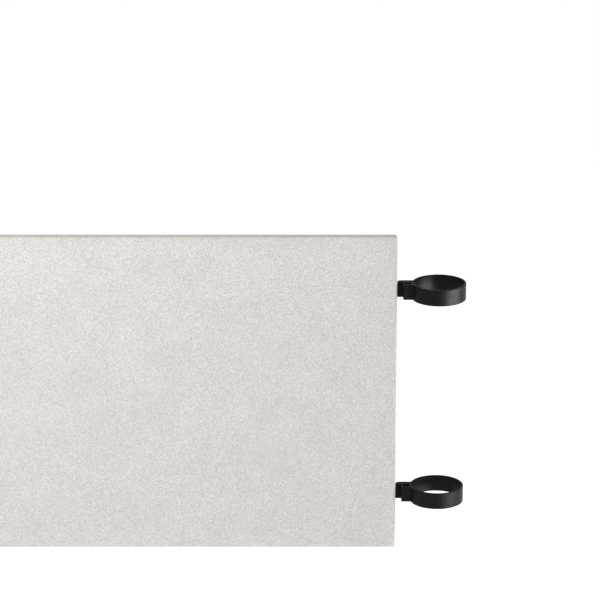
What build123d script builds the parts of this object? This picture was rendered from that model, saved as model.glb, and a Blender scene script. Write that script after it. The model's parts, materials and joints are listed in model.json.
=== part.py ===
"""Desk privacy panel: a fabric-covered board that four plastic clamps hold between two round desk legs.

Frame, in millimetres: +X runs along the panel to the right, +Y away from the side that is seen in use,
+Z up. The origin is midway between the legs, on the plane through their axes, at the panel's mid-height.

Clamp parts are drawn once, for a right-hand leg that stands on the Z axis with the panel towards -X, and
then stood at the panel's four corners, mirrored on the left.
"""
from build123d import *
import os

os.makedirs("parts", exist_ok=True)

# ---------------------------------------------------------------- panel
panel_width = 1400.0
panel_height = 400.0
panel_edge_radius = 3.0
board_thickness = 10.0
cover_thickness = 1.0
cover_return = 12.0  # how far the front cover is turned over the back of the board
seam_gap = 0.4  # between the turned-over cover and the back cover
back_cover_corner = 4.0

# ---------------------------------------------------------------- where the legs are
leg_diameter = 60.0
edge_to_leg = 20.5  # from the panel's side edge to the leg
clamp_inset = 70.0  # from the panel's top or bottom edge to the middle of a clamp

# ---------------------------------------------------------------- clamp band
leg_clearance = 0.05
band_thickness = 2.6
band_height = 20.0
band_edge_radius = 0.6
film_hinge_gap = 0.3  # the slit that the film hinge bridges, on the side away from the panel

# ---------------------------------------------------------------- clamp lugs and bracket
lug_height = 19.0
lug_edge_radius = 0.5
front_lug_length = 13.2  # from the leg to the lug's outer end
front_lug_depth = 11.5
front_lug_corner = 0.8
rear_lug_length = 18.9
rear_lug_thickness = 4.0
rear_lug_corner = 1.6
lug_root_radius = 1.2  # where the front lug's face meets the band
bracket_front = 3.0  # the bracket's front face, behind the plane of the leg axes
bracket_thickness = 4.0
bracket_height = 19.0
bracket_lap = 62.0  # how far the bracket runs behind the panel
bracket_leg_gap = 1.4  # from the leg to the bracket's end
bracket_corner = 4.0
bracket_edge_radius = 0.5

# ---------------------------------------------------------------- clamp screw and nut
clamp_screw_offset = 7.4  # from the leg to the screw's axis
clamp_screw_radius = 2.2
clamp_screw_length = 16.0
clamp_screw_tip = 0.6
clamp_screw_end_gap = 0.5  # left beyond the tip in the front lug
clamp_head_radius = 4.25
clamp_head_height = 5.0
clamp_head_rounding = 0.6
clamp_socket_width = 4.0
clamp_socket_depth = 2.5
clamp_hole_clearance = 0.55
nut_width = 8.0  # across flats
nut_thickness = 4.0
nut_bore_clearance = 0.3
nut_side_clearance = 0.2
nut_wall = 1.5  # between the nut and the bracket
pocket_depth = 6.0  # front to back
pocket_lead_in = 0.4  # the sloped rim at the pocket's mouth

# ---------------------------------------------------------------- wood screws
wood_screw_radius = 1.75
wood_screw_length = 12.0
wood_screw_tip = 2.5
wood_head_radius = 3.4
wood_screw_insets = (20.0, 48.0)  # from the panel's side edge
pilot_clearance = 0.02
fabric_hole_clearance = 0.1
countersink_clearance = 0.1
recess_length = 3.4
recess_width = 0.8
recess_depth = 1.3

# ---------------------------------------------------------------- worked out from the sizes above
panel_thickness = board_thickness + 2 * cover_thickness
panel_back = bracket_front
panel_front = panel_back - panel_thickness
board_front = panel_front + cover_thickness
board_back = board_front + board_thickness
board_corner = panel_edge_radius - cover_thickness
leg_radius = leg_diameter / 2
edge_to_leg_axis = leg_radius + edge_to_leg
leg_axis_x = panel_width / 2 + edge_to_leg_axis
clamp_z = panel_height / 2 - clamp_inset

band_inner = leg_radius + leg_clearance
band_outer = band_inner + band_thickness
bracket_back = bracket_front + bracket_thickness
lug_back = bracket_back + rear_lug_thickness
front_lug_face = bracket_front - front_lug_depth
front_lug_reach = leg_radius + front_lug_length
rear_lug_reach = leg_radius + rear_lug_length
clamp_screw_reach = leg_radius + clamp_screw_offset
bracket_tip = leg_radius + bracket_leg_gap
clamp_hole_radius = clamp_screw_radius + clamp_hole_clearance
nut_back = bracket_front - nut_wall
clamp_screw_end = lug_back - clamp_screw_length
pocket_width = nut_width + 2 * nut_side_clearance
nut_corner_radius = nut_width / 3**0.5
pocket_floor = -nut_corner_radius - nut_side_clearance
wood_tip = bracket_back - wood_screw_length
wood_head_depth = wood_head_radius - wood_screw_radius
wood_screw_xs = [-edge_to_leg_axis - inset for inset in wood_screw_insets]

sides = {"left": -1, "right": 1}
levels = {"lower": -1, "upper": 1}
beyond = 1.0  # how far a cutting shape runs past what it cuts


def seen_from_front(y):
    """A plane at depth y, drawn with +X to the right and +Z up. A positive extrusion comes forwards."""
    return Plane.XZ.offset(-y)


def across(x):
    """The axis of a screw at x in the clamp's own frame, running front to back."""
    return Axis((x, 0, 0), (0, 1, 0))


def at_corner(shape, side, level):
    """A right-hand clamp piece, mirrored if it is for the left, stood at one corner of the panel."""
    handed = shape if sides[side] > 0 else mirror(shape, about=Plane.YZ)
    return handed.moved(Location((sides[side] * leg_axis_x, 0, levels[level] * clamp_z)))


def save(shape, name):
    """Label one finished piece and write it to its own STEP file."""
    shape.label = name
    export_step(shape, f"parts/{name}.step")


# ================================================================ panel
with BuildPart() as board_blank:
    with BuildSketch(seen_from_front(board_front)):
        Rectangle(panel_width - 2 * cover_thickness, panel_height - 2 * cover_thickness)
    extrude(amount=-board_thickness)
    fillet(board_blank.edges(), board_corner)

with BuildPart() as front_cover:
    with BuildSketch(seen_from_front(panel_front)):
        Rectangle(panel_width, panel_height)
    extrude(amount=-panel_thickness)
    fillet(front_cover.edges(), panel_edge_radius)
    add(board_blank.part, mode=Mode.SUBTRACT)
    with BuildSketch(seen_from_front(board_back)):
        RectangleRounded(
            panel_width - 2 * cover_return, panel_height - 2 * cover_return, back_cover_corner
        )
    extrude(amount=-cover_thickness - beyond, mode=Mode.SUBTRACT)
save(front_cover.part, "front_cover")

panel_screw_places = [
    (sides[side] * (leg_axis_x + x), levels[level] * clamp_z)
    for side in sides
    for level in levels
    for x in wood_screw_xs
]

with BuildPart() as core_board:
    add(board_blank.part)
    with BuildSketch(seen_from_front(board_back)):
        with Locations(*panel_screw_places):
            Circle(wood_screw_radius + pilot_clearance)
    extrude(amount=board_back - wood_tip, mode=Mode.SUBTRACT)
save(core_board.part, "core_board")

with BuildPart() as back_cover:
    with BuildSketch(seen_from_front(board_back)):
        RectangleRounded(
            panel_width - 2 * (cover_return + seam_gap),
            panel_height - 2 * (cover_return + seam_gap),
            back_cover_corner,
        )
        with Locations(*panel_screw_places):
            Circle(wood_screw_radius + fabric_hole_clearance, mode=Mode.SUBTRACT)
    extrude(amount=-cover_thickness)
save(back_cover.part, "back_cover")

# ================================================================ clamp, right-hand
with BuildPart() as bracket:
    with BuildSketch(seen_from_front(bracket_front)):
        with Locations((-(edge_to_leg_axis + bracket_lap + bracket_tip) / 2, 0)):
            Rectangle(edge_to_leg_axis + bracket_lap - bracket_tip, bracket_height)
    extrude(amount=-bracket_thickness)
    fillet(bracket.edges().filter_by(Axis.Y).group_by(Axis.X)[0], bracket_corner)
    fillet(bracket.faces().filter_by(Axis.Y).edges(), bracket_edge_radius)
    with BuildSketch(seen_from_front(bracket_front)):
        with Locations((-clamp_screw_reach, 0)):
            Circle(clamp_hole_radius)
    extrude(amount=-bracket_thickness, mode=Mode.SUBTRACT)
    for x in wood_screw_xs:
        with BuildSketch(Plane.XY):
            with BuildLine():
                Polyline(
                    (x, bracket_front - beyond),
                    (x + wood_screw_radius + countersink_clearance, bracket_front - beyond),
                    (x + wood_screw_radius + countersink_clearance, bracket_back - wood_head_depth),
                    (x + wood_head_radius + countersink_clearance, bracket_back),
                    (x + wood_head_radius + countersink_clearance, bracket_back + beyond),
                    (x, bracket_back + beyond),
                    close=True,
                )
            make_face()
        revolve(axis=across(x), mode=Mode.SUBTRACT)

with BuildPart() as band:
    with BuildSketch(Plane.XZ) as band_section:
        with Locations(((band_inner + band_outer) / 2, 0)):
            Rectangle(band_thickness, band_height)
        fillet(band_section.vertices().group_by(Axis.X)[-1], band_edge_radius)
    revolve(axis=Axis.Z)


def lug(reach, front, back, corner, hole_front):
    """A block from the leg out to reach, rounded, with the screw's hole from hole_front to its back."""
    with BuildPart() as block:
        with BuildSketch(Plane.XY.offset(-lug_height / 2)):
            with Locations((-(reach + band_inner - band_thickness) / 2, (front + back) / 2)):
                Rectangle(reach - band_inner + band_thickness, back - front)
        extrude(amount=lug_height)
        fillet(block.edges().filter_by(Axis.Z).group_by(Axis.X)[0], corner)
        fillet(block.faces().filter_by(Axis.Z).edges(), lug_edge_radius)
        with BuildSketch(Plane.XY.offset(-lug_height / 2)):
            Circle(band_inner)
        extrude(amount=lug_height, mode=Mode.SUBTRACT)
        with BuildSketch(seen_from_front(hole_front)):
            with Locations((-clamp_screw_reach, 0)):
                Circle(clamp_hole_radius)
        extrude(amount=hole_front - back, mode=Mode.SUBTRACT)
    return block.part


with BuildPart() as rear_jaw:
    add(band.part)
    with BuildSketch(Plane.XY.offset(-band_height / 2)):
        with BuildLine():
            Polyline(
                (-band_outer - beyond, bracket_back),
                (0, bracket_back),
                (0, film_hinge_gap / 2),
                (band_outer + beyond, film_hinge_gap / 2),
                (band_outer + beyond, -band_outer - beyond),
                (-band_outer - beyond, -band_outer - beyond),
                close=True,
            )
        make_face()
    extrude(amount=band_height, mode=Mode.SUBTRACT)
    add(lug(rear_lug_reach, bracket_back, lug_back, rear_lug_corner, bracket_back))

with BuildPart() as front_jaw:
    add(band.part)
    with BuildSketch(Plane.XY.offset(-band_height / 2)):
        with BuildLine():
            Polyline(
                (-band_outer - beyond, bracket_front),
                (0, bracket_front),
                (0, -film_hinge_gap / 2),
                (band_outer + beyond, -film_hinge_gap / 2),
                (band_outer + beyond, band_outer + beyond),
                (-band_outer - beyond, band_outer + beyond),
                close=True,
            )
        make_face()
    extrude(amount=band_height, mode=Mode.SUBTRACT)
    # The screw comes in from behind, through the nut, and the lug's front stays closed.
    blind_end = clamp_screw_end - clamp_screw_end_gap
    add(lug(front_lug_reach, front_lug_face, bracket_front, front_lug_corner, blind_end))
    lug_root = (-((band_outer**2 - front_lug_face**2) ** 0.5), front_lug_face, 0)
    fillet(front_jaw.edges().filter_by(Axis.Z).sort_by_distance(lug_root)[0], lug_root_radius)
    with BuildSketch(Plane.XY.offset(pocket_floor)):
        with Locations((-clamp_screw_reach, nut_back - pocket_depth / 2)):
            Rectangle(pocket_width, pocket_depth)
    extrude(amount=lug_height, mode=Mode.SUBTRACT)
    with BuildSketch(Plane.XY.offset(lug_height / 2 - pocket_lead_in)):
        with Locations((-clamp_screw_reach, nut_back - pocket_depth / 2)):
            Rectangle(pocket_width, pocket_depth)
    extrude(amount=pocket_lead_in + beyond, taper=-45, mode=Mode.SUBTRACT)

with BuildPart() as clamp_nut:
    with BuildSketch(seen_from_front(nut_back)):
        with Locations((-clamp_screw_reach, 0)):
            RegularPolygon(nut_width / 2, 6, major_radius=False, rotation=30)
            Circle(clamp_screw_radius + nut_bore_clearance, mode=Mode.SUBTRACT)
    extrude(amount=nut_thickness)

with BuildPart() as clamp_screw:
    with BuildSketch(seen_from_front(lug_back)):
        with Locations((-clamp_screw_reach, 0)):
            Circle(clamp_head_radius)
    extrude(amount=-clamp_head_height)
    fillet(clamp_screw.edges().group_by(Axis.Y)[-1], clamp_head_rounding)
    with BuildSketch(seen_from_front(lug_back + clamp_head_height)):
        with Locations((-clamp_screw_reach, 0)):
            RegularPolygon(clamp_socket_width / 2, 6, major_radius=False)
    extrude(amount=clamp_socket_depth, mode=Mode.SUBTRACT)
    with BuildSketch(seen_from_front(lug_back)):
        with Locations((-clamp_screw_reach, 0)):
            Circle(clamp_screw_radius)
    extrude(amount=clamp_screw_length)
    chamfer(clamp_screw.edges().group_by(Axis.Y)[0], clamp_screw_tip)

with BuildPart() as bracket_screws:
    for x in wood_screw_xs:
        with BuildSketch(Plane.XY):
            with BuildLine():
                Polyline(
                    (x, wood_tip),
                    (x + wood_screw_radius, wood_tip + wood_screw_tip),
                    (x + wood_screw_radius, bracket_back - wood_head_depth),
                    (x + wood_head_radius, bracket_back),
                    (x, bracket_back),
                    close=True,
                )
            make_face()
        revolve(axis=across(x))
        with BuildSketch(seen_from_front(bracket_back)):
            with Locations((x, 0)):
                Rectangle(recess_length, recess_width)
                Rectangle(recess_width, recess_length)
        extrude(amount=recess_depth, mode=Mode.SUBTRACT)

# ================================================================ four clamps
clamp_pieces = {
    "bracket": bracket.part,
    "bracket_screws": bracket_screws.part,
    "rear_jaw": rear_jaw.part,
    "front_jaw": front_jaw.part,
    "clamp_screw": clamp_screw.part,
    "clamp_nut": clamp_nut.part,
}
for level in levels:
    for side in sides:
        for piece, shape in clamp_pieces.items():
            save(at_corner(shape, side, level), f"{level}_{side}_{piece}")
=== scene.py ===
"""Desk privacy panel: the cloth, plastic, steel and stage for the CAD frame, laid out as an add-on."""
import json
import math

import bpy
from bpy.props import FloatProperty, FloatVectorProperty, PointerProperty
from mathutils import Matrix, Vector


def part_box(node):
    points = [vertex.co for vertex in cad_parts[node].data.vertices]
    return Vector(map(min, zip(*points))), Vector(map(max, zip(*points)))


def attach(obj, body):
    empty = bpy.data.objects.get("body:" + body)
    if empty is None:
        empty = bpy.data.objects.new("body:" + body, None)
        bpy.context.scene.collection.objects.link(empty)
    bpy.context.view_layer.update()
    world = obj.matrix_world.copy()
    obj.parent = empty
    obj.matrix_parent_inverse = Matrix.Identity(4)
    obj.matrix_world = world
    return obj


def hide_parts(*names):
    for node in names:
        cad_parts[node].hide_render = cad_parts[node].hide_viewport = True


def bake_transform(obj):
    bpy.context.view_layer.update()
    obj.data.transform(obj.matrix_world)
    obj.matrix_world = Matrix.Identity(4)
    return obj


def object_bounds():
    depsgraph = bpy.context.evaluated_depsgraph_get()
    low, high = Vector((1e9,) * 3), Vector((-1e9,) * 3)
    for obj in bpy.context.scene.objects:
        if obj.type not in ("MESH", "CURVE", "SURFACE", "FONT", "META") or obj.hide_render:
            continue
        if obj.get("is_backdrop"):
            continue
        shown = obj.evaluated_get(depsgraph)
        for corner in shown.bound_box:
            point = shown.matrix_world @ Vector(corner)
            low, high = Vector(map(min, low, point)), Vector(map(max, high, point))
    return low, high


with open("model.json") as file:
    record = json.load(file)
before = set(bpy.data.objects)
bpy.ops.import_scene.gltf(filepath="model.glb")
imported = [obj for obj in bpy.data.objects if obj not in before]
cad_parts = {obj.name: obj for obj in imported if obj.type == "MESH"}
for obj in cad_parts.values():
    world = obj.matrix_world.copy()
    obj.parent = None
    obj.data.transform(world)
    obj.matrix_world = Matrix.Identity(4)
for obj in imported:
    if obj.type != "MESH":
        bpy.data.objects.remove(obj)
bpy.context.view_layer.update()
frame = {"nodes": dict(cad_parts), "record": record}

bl_info = {
    "name": "Desk Privacy Panel",
    "version": (1, 0, 0),
    "blender": (4, 5, 0),
    "location": "View3D > Sidebar > Privacy Panel",
    "description": "Dresses a cloth-covered desk privacy panel and its leg clamps",
    "category": "Object",
}

MM = 0.001
OFF_GRID = (0.23 * MM, 0.31 * MM, 0.29 * MM)  # keeps a flat face off a fine noise's grid, where it fades
SOFT_ANGLE = 30  # degrees up to which the front cloth's faces are smoothed together
RIM_ANGLE = 50  # the same for the back cloth, whose edge turns in fewer steps
FOLD_ANGLE = 60  # the same for the small corner folds
CORNER_STEPS = 6  # faces round a corner of the back cover and of the opening it lies in


def linear(code):
    """An sRGB hex colour as linear red, green and blue."""
    parts = [int(code[i : i + 2], 16) / 255 for i in (1, 3, 5)]
    return tuple(p / 12.92 if p <= 0.04045 else ((p + 0.055) / 1.055) ** 2.4 for p in parts)


def rgba(colour):
    """A property's colour with full alpha, as a socket wants it."""
    return (*colour, 1.0)


def per_metre(millimetres):
    """A pattern's repeat in millimetres as the scale of a texture on coordinates in metres."""
    return 1000 / millimetres


def colour_property(name, description, code):
    """A colour that a user can change, with its default given in sRGB hex."""
    return FloatVectorProperty(
        name=name, description=description, subtype="COLOR", min=0, max=1, default=linear(code)
    )


def length_property(name, description, default, maximum=1.0):
    """A length that a user can change, in metres."""
    return FloatProperty(
        name=name, description=description, subtype="DISTANCE", unit="LENGTH",
        min=0.0, max=maximum, precision=5, default=default,
    )


# ------------------------------------------------------------------ properties
class ClothSettings(bpy.types.PropertyGroup):
    """The cloth on the board, its turned-over edge and its colours."""

    edge_radius: length_property("Edge radius", "Rounding where the cloth turns round the board", 3 * MM)
    thickness: length_property("Cloth thickness", "The covering cloth with its glue", 0.9 * MM)
    back_corner: length_property("Back corner", "Rounding of the back cover's corners", 4 * MM)
    hem_width: length_property("Hem width", "Cloth turned under round the back cover", 9 * MM)
    hem_rise: length_property("Hem rise", "How far the turned-under edge stands proud", 0.25 * MM)
    fold_rise: length_property("Fold rise", "Thickness of the folded cloth at the back corners", 0.5 * MM)
    yarn: length_property("Yarn", "Width of one yarn of the crepe weave", 0.5 * MM)
    float_length: length_property("Yarn float", "Length of one yarn's float in the crepe weave", 1.1 * MM)
    ground: colour_property("Ground", "The cloth's middle grey", "#C9C5C2")
    dark: colour_property("Dark fibre", "The darker of the two fibres", "#ADA9A6")
    light: colour_property("Light fibre", "The lighter of the two fibres", "#E4E0DD")


class ClampSettings(bpy.types.PropertyGroup):
    """The black clamps, their screws and the board inside."""

    film_thickness: length_property("Film thickness", "The web that hinges the two half-bands", 0.5 * MM)
    film_set_in: length_property("Film set-in", "From the band's outer face in to the web", 0.04 * MM)
    film_clear: length_property("Film clearance", "From the web to the band's top and bottom edge", 0.6 * MM)
    nylon: colour_property("Nylon", "Black moulded nylon", "#0B0B0D")
    nylon_roughness: FloatProperty(
        name="Nylon roughness", description="Micro-roughness of the moulded skin",
        min=0.05, max=1.0, default=0.42,
    )
    zinc: colour_property("Zinc", "Bright passivated zinc plating", "#C3C7CC")
    fibreboard: colour_property("Fibreboard", "The raw board under the cloth", "#A58C6C")


class StageSettings(bpy.types.PropertyGroup):
    """Floor, lights and camera."""

    floor_gap: length_property("Floor gap", "Clear height under the panel", 0.235, 2.0)
    floor_size: length_property("Floor size", "Side of the pale floor", 160.0, 400.0)
    floor_colour: colour_property("Floor", "Pale matt floor", "#FAFAFA")
    lens: FloatProperty(name="Lens", description="Focal length in millimetres", min=20, max=400, default=200)
    view_width: length_property("View width", "Width seen at the plane of the legs", 0.723, 5.0)
    elevation: FloatProperty(
        name="Elevation", description="How far the camera looks down", subtype="ANGLE",
        min=0.0, max=1.5, default=math.radians(18),
    )
    inset: length_property("View inset", "From the panel's right edge to the picture's middle", 0.1169, 2.0)
    drop: length_property("View drop", "From the panel's top edge to the picture's middle", 0.0822, 2.0)


# ------------------------------------------------------------------ modelling helpers
def deselect():
    """Leave nothing selected, in object mode."""
    if bpy.context.object and bpy.context.object.mode != "OBJECT":
        bpy.ops.object.mode_set(mode="OBJECT")
    bpy.ops.object.select_all(action="DESELECT")


def block(name, low, high):
    """Add a cube between two corners, with its place in its mesh."""
    deselect()
    low, high = Vector(low), Vector(high)
    bpy.ops.mesh.primitive_cube_add(size=1, location=(low + high) / 2)
    made = bpy.context.object
    made.name = made.data.name = name
    made.scale = high - low
    bpy.ops.object.transform_apply(location=True, rotation=True, scale=True)
    return made


def pick(obj, kind, wanted):
    """Select only the faces, edges or vertices of obj for which wanted(element) is true, in edit mode."""
    bpy.ops.object.mode_set(mode="EDIT")
    bpy.ops.mesh.select_all(action="DESELECT")
    bpy.ops.mesh.select_mode(type={"faces": "FACE", "edges": "EDGE", "vertices": "VERT"}[kind])
    bpy.ops.object.mode_set(mode="OBJECT")
    elements = {"faces": obj.data.polygons, "edges": obj.data.edges, "vertices": obj.data.vertices}[kind]
    for element in elements:
        element.select = bool(wanted(element))
    bpy.ops.object.mode_set(mode="EDIT")


def edge_ends(obj, edge):
    """The two ends of an edge."""
    return [obj.data.vertices[i].co for i in edge.vertices]


def runs_along(obj, edge, axis):
    """True if an edge runs along one axis (0, 1 or 2)."""
    a, b = edge_ends(obj, edge)
    d = (b - a).normalized()
    return abs(d[axis]) > 0.999


def add_modifier(obj, kind, name, **settings):
    """Add one modifier, set it and apply it."""
    deselect()
    obj.select_set(True)
    bpy.context.view_layer.objects.active = obj
    modifier = obj.modifiers.new(name, kind)
    for key, value in settings.items():
        setattr(modifier, key, value)
    bpy.ops.object.modifier_apply(modifier=name)


def finish_shading(obj, degrees):
    """Smooth what curves and leave the creases sharp."""
    deselect()
    obj.select_set(True)
    bpy.context.view_layer.objects.active = obj
    bpy.ops.object.shade_smooth_by_angle(angle=math.radians(degrees))


# ------------------------------------------------------------------ material helper
def add(tree, kind, inputs=None, **settings):
    """Add one node. settings are its own properties, inputs its sockets' values or what is linked to them."""
    made = tree.nodes.new(kind)
    for key, value in settings.items():
        setattr(made, key, value)
    for key, value in (inputs or {}).items():
        if isinstance(value, bpy.types.NodeSocket):
            tree.links.new(value, made.inputs[key])
        else:
            made.inputs[key].default_value = value
    return made


def new_material(name):
    """An empty node material, with its output and a surface shader to build on."""
    material = bpy.data.materials.new(name)
    material.use_nodes = True
    tree = material.node_tree
    tree.nodes.clear()
    shader = add(tree, "ShaderNodeBsdfPrincipled")
    add(tree, "ShaderNodeOutputMaterial", {"Surface": shader.outputs["BSDF"]})
    place = add(tree, "ShaderNodeTexCoord").outputs["Object"]
    return material, tree, shader, place


def give(obj, material):
    """Put one material on all of a piece, whatever it had."""
    obj.data.materials.clear()
    obj.data.materials.append(material)


# ------------------------------------------------------------------ materials
def yarn_floats(tree, place, yarn, stretch):
    """One set of short yarn floats, as long as stretch makes them: how far each point is from its own
    float's middle, in yarn widths, and a random tone for each float."""
    laid = add(tree, "ShaderNodeMapping", {"Vector": place, "Scale": stretch, "Location": OFF_GRID})
    cells = add(tree, "ShaderNodeTexVoronoi", {
        "Vector": laid.outputs["Vector"], "Scale": per_metre(yarn / MM), "Randomness": 0.9,
    })
    tone = add(tree, "ShaderNodeSeparateXYZ", {"Vector": cells.outputs["Color"]})
    return cells.outputs["Distance"], tone.outputs["X"]


def melange_crepe_cloth(cloth):
    """Melange polyester cloth in a crepe weave: short floats of yarn lie now across, now down, with no line
    of their own, each spun of two greys, so the eye reads an even matt grey with pepper-like flecks."""
    material, tree, shader, place = new_material("melange_crepe_cloth")
    fibre_width, fibre_share = 0.18, 0.7  # millimetres, and their weight beside the yarns' own tones
    dye_cloud = 45  # millimetres, about a hand's width
    slim = cloth.yarn / cloth.float_length
    from_across, tone_across = yarn_floats(tree, place, cloth.yarn, (slim, 1.0, 1.0))
    from_down, tone_down = yarn_floats(tree, place, cloth.yarn, (1.0, 1.0, slim))
    # Where two floats meet, the one whose middle is nearer lies on top.
    across_on_top = add(tree, "ShaderNodeMath", {0: from_across, 1: from_down}, operation="LESS_THAN")
    depth = add(tree, "ShaderNodeMath", {0: from_across, 1: from_down}, operation="MINIMUM").outputs["Value"]
    tone = add(tree, "ShaderNodeMapRange", {
        "Value": across_on_top.outputs["Value"], "To Min": tone_down, "To Max": tone_across,
    })
    # Single fibres of the other grey show within a yarn.
    off_grid = add(tree, "ShaderNodeMapping", {"Vector": place, "Location": OFF_GRID})
    fibres = add(tree, "ShaderNodeTexNoise", {
        "Vector": off_grid.outputs["Vector"], "Scale": per_metre(fibre_width), "Detail": 1.0,
    })
    mixed = add(tree, "ShaderNodeMath", {
        0: fibres.outputs["Fac"], 1: fibre_share, 2: tone.outputs["Result"],
    }, operation="MULTIPLY_ADD")
    # The fibres' mean is taken off again, so that the yarns' own tones stay in the middle of the ramp.
    centred = add(tree, "ShaderNodeMath", {
        0: mixed.outputs["Value"], 1: fibre_share / 2,
    }, operation="SUBTRACT")
    melange = add(tree, "ShaderNodeValToRGB", {"Fac": centred.outputs["Value"]})
    ramp = melange.color_ramp
    ramp.elements[0].position, ramp.elements[0].color = 0.0, rgba(cloth.dark)
    ramp.elements[1].position, ramp.elements[1].color = 1.0, rgba(cloth.light)
    ramp.elements.new(0.5).color = rgba(cloth.ground)
    # Uneven dyeing and lay of the nap.
    clouds = add(tree, "ShaderNodeTexNoise", {
        "Vector": place, "Scale": per_metre(dye_cloud), "Detail": 3.0, "Roughness": 0.55,
    })
    shade = add(tree, "ShaderNodeMapRange", {
        "Value": clouds.outputs["Fac"], "From Min": 0.3, "From Max": 0.7, "To Min": 0.97, "To Max": 1.03,
    })
    # Between the floats the cloth lies in its own shadow.
    hollow = add(tree, "ShaderNodeMapRange", {
        "Value": depth, "From Min": 0.2, "From Max": 0.75, "To Min": 1.03, "To Max": 0.8,
    })
    shaded = add(tree, "ShaderNodeMath", {
        0: shade.outputs["Result"], 1: hollow.outputs["Result"],
    }, operation="MULTIPLY")
    colour = add(tree, "ShaderNodeVectorMath", {
        0: melange.outputs["Color"], "Scale": shaded.outputs["Value"],
    }, operation="SCALE")
    bump = add(tree, "ShaderNodeBump", {"Height": depth, "Strength": 0.5, "Distance": 0.2 * MM}, invert=True)
    tree.links.new(colour.outputs["Vector"], shader.inputs["Base Color"])
    tree.links.new(bump.outputs["Normal"], shader.inputs["Normal"])
    shader.inputs["Roughness"].default_value = 0.92
    shader.inputs["Specular IOR Level"].default_value = 0.15
    shader.inputs["Sheen Weight"].default_value = 0.12
    shader.inputs["Sheen Roughness"].default_value = 0.6
    return material


def moulded_black_nylon(clamp):
    """Black glass-filled nylon, injection moulded in a spark-eroded tool: the eye sees a near-black that
    takes broad soft highlights, with a faint fine grain and slightly uneven gloss from the glass fibres."""
    spark_grain, glass_flow = 0.35, 9  # millimetres
    material, tree, shader, place = new_material("moulded_black_nylon")
    grain = add(tree, "ShaderNodeTexNoise", {
        "Vector": place, "Scale": per_metre(spark_grain), "Detail": 2.0, "Roughness": 0.5,
    })
    flow = add(tree, "ShaderNodeTexNoise", {
        "Vector": place, "Scale": per_metre(glass_flow), "Detail": 3.0, "Roughness": 0.55, "Distortion": 0.8,
    })
    gloss = add(tree, "ShaderNodeMapRange", {
        "Value": flow.outputs["Fac"], "From Min": 0.3, "From Max": 0.7,
        "To Min": clamp.nylon_roughness - 0.05, "To Max": clamp.nylon_roughness + 0.06,
    })
    tone = add(tree, "ShaderNodeMapRange", {
        "Value": grain.outputs["Fac"], "From Min": 0.3, "From Max": 0.7, "To Min": 0.85, "To Max": 1.2,
    })
    colour = add(tree, "ShaderNodeVectorMath", {
        0: clamp.nylon, "Scale": tone.outputs["Result"],
    }, operation="SCALE")
    bump = add(tree, "ShaderNodeBump", {
        "Height": grain.outputs["Fac"], "Strength": 0.12, "Distance": 0.03 * MM,
    })
    tree.links.new(colour.outputs["Vector"], shader.inputs["Base Color"])
    tree.links.new(gloss.outputs["Result"], shader.inputs["Roughness"])
    tree.links.new(bump.outputs["Normal"], shader.inputs["Normal"])
    shader.inputs["IOR"].default_value = 1.53
    shader.inputs["Specular IOR Level"].default_value = 0.09
    return material


def bright_zinc(clamp):
    """Steel, zinc plated and passivated: a cool silver with a faint bluish cast, satin from the barrel
    plating, with small cloudy patches."""
    plating_patch = 1.6  # millimetres
    material, tree, shader, place = new_material("bright_zinc")
    patches = add(tree, "ShaderNodeTexNoise", {
        "Vector": place, "Scale": per_metre(plating_patch), "Detail": 4.0, "Roughness": 0.6,
    })
    tone = add(tree, "ShaderNodeMapRange", {
        "Value": patches.outputs["Fac"], "From Min": 0.3, "From Max": 0.7, "To Min": 0.88, "To Max": 1.04,
    })
    colour = add(tree, "ShaderNodeVectorMath", {
        0: clamp.zinc, "Scale": tone.outputs["Result"],
    }, operation="SCALE")
    gloss = add(tree, "ShaderNodeMapRange", {
        "Value": patches.outputs["Fac"], "From Min": 0.3, "From Max": 0.7, "To Min": 0.22, "To Max": 0.36,
    })
    bump = add(tree, "ShaderNodeBump", {
        "Height": patches.outputs["Fac"], "Strength": 0.08, "Distance": 0.02 * MM,
    })
    tree.links.new(colour.outputs["Vector"], shader.inputs["Base Color"])
    tree.links.new(gloss.outputs["Result"], shader.inputs["Roughness"])
    tree.links.new(bump.outputs["Normal"], shader.inputs["Normal"])
    shader.inputs["Metallic"].default_value = 1.0
    return material


def raw_fibreboard(clamp):
    """Medium-density fibreboard, pressed from wood fibre and sanded: a flat tan with short dark and light
    fibres and no grain of its own."""
    wood_fibre = 1.1  # millimetres
    material, tree, shader, place = new_material("raw_fibreboard")
    fibres = add(tree, "ShaderNodeTexNoise", {
        "Vector": place, "Scale": per_metre(wood_fibre), "Detail": 5.0, "Roughness": 0.7,
    })
    tone = add(tree, "ShaderNodeMapRange", {
        "Value": fibres.outputs["Fac"], "From Min": 0.3, "From Max": 0.7, "To Min": 0.78, "To Max": 1.15,
    })
    colour = add(tree, "ShaderNodeVectorMath", {
        0: clamp.fibreboard, "Scale": tone.outputs["Result"],
    }, operation="SCALE")
    bump = add(tree, "ShaderNodeBump", {
        "Height": fibres.outputs["Fac"], "Strength": 0.2, "Distance": 0.1 * MM,
    })
    tree.links.new(colour.outputs["Vector"], shader.inputs["Base Color"])
    tree.links.new(bump.outputs["Normal"], shader.inputs["Normal"])
    shader.inputs["Roughness"].default_value = 0.88
    return material


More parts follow.
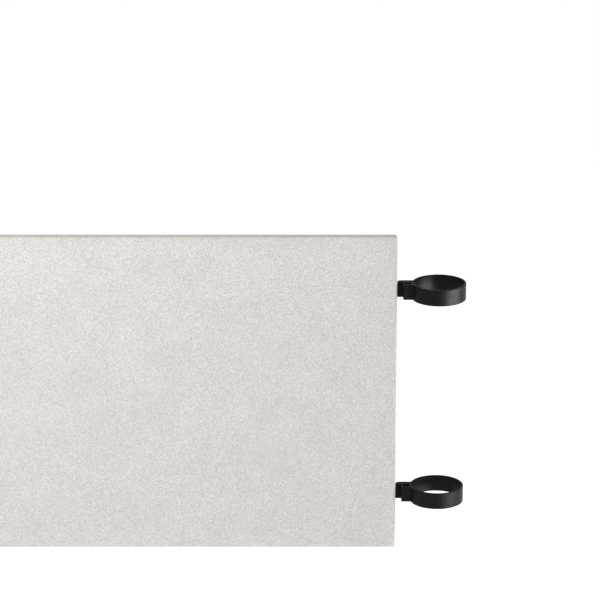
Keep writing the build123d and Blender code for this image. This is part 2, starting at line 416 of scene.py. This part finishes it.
def matt_floor(stage):
    """Pale matt floor, rolled on: an even near-white."""
    roller_lap = 1 / 0.7  # metres
    own_glow = 0.51  # keeps the floor near white behind the panel
    material, tree, shader, place = new_material("matt_floor")
    roller = add(tree, "ShaderNodeTexNoise", {"Vector": place, "Scale": 1 / roller_lap, "Detail": 2.0})
    tone = add(tree, "ShaderNodeMapRange", {
        "Value": roller.outputs["Fac"], "From Min": 0.3, "From Max": 0.7, "To Min": 0.985, "To Max": 1.0,
    })
    colour = add(tree, "ShaderNodeVectorMath", {
        0: stage.floor_colour, "Scale": tone.outputs["Result"],
    }, operation="SCALE")
    tree.links.new(colour.outputs["Vector"], shader.inputs["Base Color"])
    shader.inputs["Roughness"].default_value = 0.95
    shader.inputs["Specular IOR Level"].default_value = 0.1
    shader.inputs["Emission Color"].default_value = (1.0, 1.0, 1.0, 1.0)
    shader.inputs["Emission Strength"].default_value = own_glow
    return material


# ------------------------------------------------------------------ operators: cloth
class PRIVACY_OT_front_cover(bpy.types.Operator):
    """Stretch the front cloth over the board's face and edges and turn it over the back"""

    bl_idname = "privacy.front_cover"
    bl_label = "Front Cover"
    bl_options = {"REGISTER", "UNDO"}

    def execute(self, context):
        cloth = context.scene.privacy_cloth
        low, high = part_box("front_cover")
        cover_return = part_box("back_cover")[0].x - low.x  # from the side edge to the seam
        cover = block("front_cloth", low, high)
        pick(cover, "edges", lambda edge: True)
        bpy.ops.mesh.bevel(offset=cloth.edge_radius, segments=5, profile=0.5, affect="EDGES")
        # The flat of the back opens inside the turned-over border, with rounded corners.
        pick(cover, "faces", lambda face: face.normal.y > 0.999)
        bpy.ops.mesh.inset(thickness=cover_return - cloth.edge_radius, depth=0)
        bpy.ops.mesh.bevel(offset=cloth.back_corner, segments=CORNER_STEPS, profile=0.5, affect="VERTICES")
        pick(cover, "faces", lambda face: face.normal.y > 0.999 and self.is_central(face))
        bpy.ops.mesh.delete(type="FACE")
        # The face is cut into small quads.
        pick(cover, "faces", lambda face: face.normal.y < -0.999)
        bpy.ops.mesh.subdivide(number_cuts=40)
        bpy.ops.object.mode_set(mode="OBJECT")
        add_modifier(cover, "SOLIDIFY", "cloth", thickness=cloth.thickness, offset=-1.0)
        finish_shading(cover, SOFT_ANGLE)
        add_modifier(cover, "WEIGHTED_NORMAL", "flats_stay_flat", keep_sharp=True)
        give(cover, melange_crepe_cloth(cloth))
        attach(cover, "panel")
        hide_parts("front_cover")
        folds = [self.corner_fold(cloth, low, high, cover_return, sx, sz, cover.data.materials[0])
                 for sx in (-1, 1) for sz in (-1, 1)]
        return {"FINISHED"}

    @staticmethod
    def is_central(face):
        """True for the one face of the back whose middle is the panel's own."""
        return Vector((face.center.x, face.center.z)).length < MM

    @staticmethod
    def corner_fold(cloth, low, high, cover_return, side, level, material):
        """The cloth doubled under at one back corner: a flat wedge with its free edge on the mitre."""
        name = f"corner_fold_{'right' if side > 0 else 'left'}_{'upper' if level > 0 else 'lower'}"
        start = cloth.edge_radius * 0.8
        near = Vector((side * (high.x - start), high.y - cloth.fold_rise, level * (high.z - start)))
        far_x, far_z = side * (high.x - cover_return), level * (high.z - cover_return)
        far = Vector((far_x, high.y + cloth.fold_rise, far_z))
        low_corner = [min(a, b) for a, b in zip(near, far)]
        high_corner = [max(a, b) for a, b in zip(near, far)]
        fold = block(name, low_corner, high_corner)
        # Cut along the mitre and keep the half below it.
        bpy.ops.object.mode_set(mode="EDIT")
        bpy.ops.mesh.select_all(action="SELECT")
        bpy.ops.mesh.bisect(
            plane_co=near, plane_no=(side, 0, -level), use_fill=True, clear_outer=True,
        )
        bpy.ops.object.mode_set(mode="OBJECT")
        add_modifier(fold, "BEVEL", "soft", width=cloth.fold_rise * 0.45, segments=2, limit_method="NONE")
        finish_shading(fold, FOLD_ANGLE)
        give(fold, material)
        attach(fold, "panel")
        return fold


class PRIVACY_OT_back_cover(bpy.types.Operator):
    """Lay the back cloth in the turned-over border, with its own edge turned under"""

    bl_idname = "privacy.back_cover"
    bl_label = "Back Cover"
    bl_options = {"REGISTER", "UNDO"}

    def execute(self, context):
        cloth = context.scene.privacy_cloth
        low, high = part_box("back_cover")
        cover = block("back_cloth", low, high)
        # The border is two cloths thick, so it stands a little proud of the field.
        pick(cover, "faces", lambda face: face.normal.y > 0.999)
        bpy.ops.mesh.inset(thickness=cloth.hem_width - cloth.hem_rise, depth=0)
        bpy.ops.mesh.inset(thickness=cloth.hem_rise * 3, depth=-cloth.hem_rise)
        bpy.ops.mesh.subdivide(number_cuts=6)
        pick(cover, "edges", lambda edge: runs_along(cover, edge, 1))
        bpy.ops.mesh.bevel(offset=cloth.back_corner, segments=CORNER_STEPS, profile=0.5, affect="EDGES")
        bpy.ops.object.mode_set(mode="OBJECT")
        rim = [v for v in cover.data.vertices if v.co.y > high.y - 0.01 * MM]
        for vertex in rim:
            vertex.co.y += cloth.hem_rise
        reach = cloth.back_corner + cloth.hem_rise  # takes in the rounded corners
        pick(cover, "edges", lambda edge: self.on_outer_rim(cover, edge, low, high, reach))
        bpy.ops.mesh.bevel(offset=cloth.thickness * 0.45, segments=3, profile=0.5, affect="EDGES")
        bpy.ops.object.mode_set(mode="OBJECT")
        finish_shading(cover, RIM_ANGLE)
        add_modifier(cover, "WEIGHTED_NORMAL", "flats_stay_flat", keep_sharp=True)
        give(cover, bpy.data.materials["melange_crepe_cloth"])
        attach(cover, "panel")
        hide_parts("back_cover")
        return {"FINISHED"}

    @staticmethod
    def on_outer_rim(cover, edge, low, high, reach):
        """True for the edges round the outside of the raised border."""
        ends = edge_ends(cover, edge)
        outside = all(
            min(end.x - low.x, high.x - end.x, end.z - low.z, high.z - end.z) < reach for end in ends
        )
        return outside and all(end.y > high.y for end in ends)


# ------------------------------------------------------------------ operators: clamps and board
class PRIVACY_OT_finishes(bpy.types.Operator):
    """Give the clamps, screws, nuts and board their finishes"""

    bl_idname = "privacy.finishes"
    bl_label = "Clamp and Board Finishes"
    bl_options = {"REGISTER", "UNDO"}

    def execute(self, context):
        clamp = context.scene.privacy_clamp
        finishes = {
            "black_nylon": moulded_black_nylon(clamp),
            "zinc_steel": bright_zinc(clamp),
            "board": raw_fibreboard(clamp),
        }
        for part in frame["record"]["subparts"]:
            material = finishes.get(part["material_slot"])
            if material:
                for place in frame["nodes"][part["node"]].material_slots:
                    place.material = material
        return {"FINISHED"}


class PRIVACY_OT_film_hinges(bpy.types.Operator):
    """Join each clamp's two half-bands with the thin web that they fold on"""

    bl_idname = "privacy.film_hinges"
    bl_label = "Film Hinges"
    bl_options = {"REGISTER", "UNDO"}

    def execute(self, context):
        clamp = context.scene.privacy_clamp
        for level in ("lower", "upper"):
            for side in ("left", "right"):
                self.film(clamp, f"{level}_{side}", 1 if side == "right" else -1)
        return {"FINISHED"}

    @staticmethod
    def film(clamp, corner, outwards):
        """One web across the slit, just inside the band's outer face."""
        front_low, front_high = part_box(f"{corner}_front_jaw")
        rear_low, rear_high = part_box(f"{corner}_rear_jaw")
        outer = front_high.x if outwards > 0 else front_low.x
        slit = rear_low.y  # the rear half starts half the slit behind the legs' plane
        xs = sorted((outer - outwards * clamp.film_set_in, outer - outwards * clamp.film_thickness))
        web = block(
            f"{corner}_film_hinge",
            (xs[0], -slit, front_low.z + clamp.film_clear), (xs[1], slit, front_high.z - clamp.film_clear),
        )
        pick(web, "edges", lambda e: runs_along(web, e, 1))
        bpy.ops.mesh.subdivide(number_cuts=5)
        bpy.ops.object.mode_set(mode="OBJECT")
        give(web, bpy.data.materials["moulded_black_nylon"])
        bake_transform(web)


# ------------------------------------------------------------------ operator: stage
class PRIVACY_OT_stage(bpy.types.Operator):
    """Set the pale floor, the soft lights and the camera"""

    bl_idname = "privacy.stage"
    bl_label = "Stage"
    bl_options = {"REGISTER", "UNDO"}

    def execute(self, context):
        stage = context.scene.privacy_stage
        low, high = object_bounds()
        deselect()
        bpy.ops.mesh.primitive_plane_add(size=stage.floor_size, location=(0, 0, low.z - stage.floor_gap))
        floor = context.object
        floor.name = "floor"
        bpy.ops.object.transform_apply(location=True, rotation=False, scale=False)
        give(floor, matt_floor(stage))
        floor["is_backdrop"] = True
        self.lights(Vector((high.x, 0, 0)))
        self.sky(context)
        self.camera(context, stage)
        context.scene.view_settings.view_transform = "Standard"
        return {"FINISHED"}

    def lights(self, right_end):
        """A key from the upper left, a side light for the right edge and a card for the plastic's gloss."""
        middle = right_end + Vector((-0.5, 0, 0.15))
        low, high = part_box("upper_right_front_jaw")
        clamp = right_end + Vector((0, 0, (low.z + high.z) / 2))
        self.softbox("key", right_end + Vector((-0.9, -0.8, 0.7)), middle, (0.8, 0.8), 8)
        self.softbox("side", right_end + Vector((1.6, 0.12, 0.3)), right_end, (0.5, 0.9), 15)
        card = self.softbox("card", clamp + Vector((1.1, -0.7, -0.42)), clamp, (1.2, 0.7), 80)
        card.visible_diffuse = False  # it shows as a reflection and doesn't brighten the cloth

    @staticmethod
    def softbox(name, place, target, size, watts):
        """One soft light, so wide and so high, aimed at a point and unseen by the camera."""
        deselect()
        bpy.ops.object.light_add(type="AREA", location=place)
        lamp = bpy.context.object
        lamp.name = name
        lamp.data.shape = "RECTANGLE"
        lamp.data.size, lamp.data.size_y = size
        lamp.data.energy = watts
        lamp.visible_camera = False
        lamp.rotation_euler = (Vector(target) - Vector(place)).to_track_quat("-Z", "Y").to_euler()
        return lamp

    @staticmethod
    def sky(context):
        """An even white room, darker overhead."""
        horizon, zenith = 0.76, 0.40
        world = bpy.data.worlds.new("studio")
        context.scene.world = world
        world.use_nodes = True
        tree = world.node_tree
        tree.nodes.clear()
        direction = add(tree, "ShaderNodeTexCoord").outputs["Generated"]
        height = add(tree, "ShaderNodeSeparateXYZ", {"Vector": direction}).outputs["Z"]
        fall = add(tree, "ShaderNodeMapRange", {
            "Value": height, "From Min": 0.0, "From Max": 1.0, "To Min": horizon, "To Max": zenith,
        })
        light = add(tree, "ShaderNodeBackground", {
            "Color": (1.0, 1.0, 1.0, 1.0), "Strength": fall.outputs["Result"],
        })
        add(tree, "ShaderNodeOutputWorld", {"Surface": light.outputs["Background"]})

    @staticmethod
    def camera(context, stage):
        """A long lens from the front, looking down a little, on the panel's right end."""
        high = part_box("front_cover")[1]
        sensor = 36  # millimetres
        distance = stage.view_width * stage.lens / sensor
        target = Vector((high.x - stage.inset, 0, high.z - stage.drop))
        away = Vector((0, -math.cos(stage.elevation), math.sin(stage.elevation)))
        deselect()
        bpy.ops.object.camera_add(location=target + away * distance)
        camera = context.object
        camera.name = "camera"
        camera.rotation_euler = (-away).to_track_quat("-Z", "Y").to_euler()
        camera.data.lens = stage.lens
        camera.data.sensor_width = sensor
        camera.data.clip_end = 500
        context.scene.camera = camera


class PRIVACY_PT_panel(bpy.types.Panel):
    """The sidebar panel that lists the steps and their settings"""

    bl_label = "Privacy Panel"
    bl_idname = "PRIVACY_PT_panel"
    bl_space_type = "VIEW_3D"
    bl_region_type = "UI"
    bl_category = "Privacy Panel"

    def draw(self, context):
        column = self.layout.column()
        for group in (context.scene.privacy_cloth, context.scene.privacy_clamp, context.scene.privacy_stage):
            for name in group.__annotations__:
                column.prop(group, name)
            column.separator()
        for operator in STEPS:
            column.operator(operator.bl_idname)


STEPS = (
    PRIVACY_OT_front_cover,
    PRIVACY_OT_back_cover,
    PRIVACY_OT_finishes,
    PRIVACY_OT_film_hinges,
    PRIVACY_OT_stage,
)
SETTINGS = (ClothSettings, ClampSettings, StageSettings)


def register():
    for cls in (*SETTINGS, *STEPS, PRIVACY_PT_panel):
        bpy.utils.register_class(cls)
    bpy.types.Scene.privacy_cloth = PointerProperty(type=ClothSettings)
    bpy.types.Scene.privacy_clamp = PointerProperty(type=ClampSettings)
    bpy.types.Scene.privacy_stage = PointerProperty(type=StageSettings)


def unregister():
    del bpy.types.Scene.privacy_stage, bpy.types.Scene.privacy_clamp, bpy.types.Scene.privacy_cloth
    for cls in reversed((*SETTINGS, *STEPS, PRIVACY_PT_panel)):
        bpy.utils.unregister_class(cls)


def main():
    """Run every step in order."""
    register()
    bpy.ops.privacy.front_cover()
    bpy.ops.privacy.back_cover()
    bpy.ops.privacy.finishes()
    bpy.ops.privacy.film_hinges()
    bpy.ops.privacy.stage()


if __name__ == "__main__":
    main()
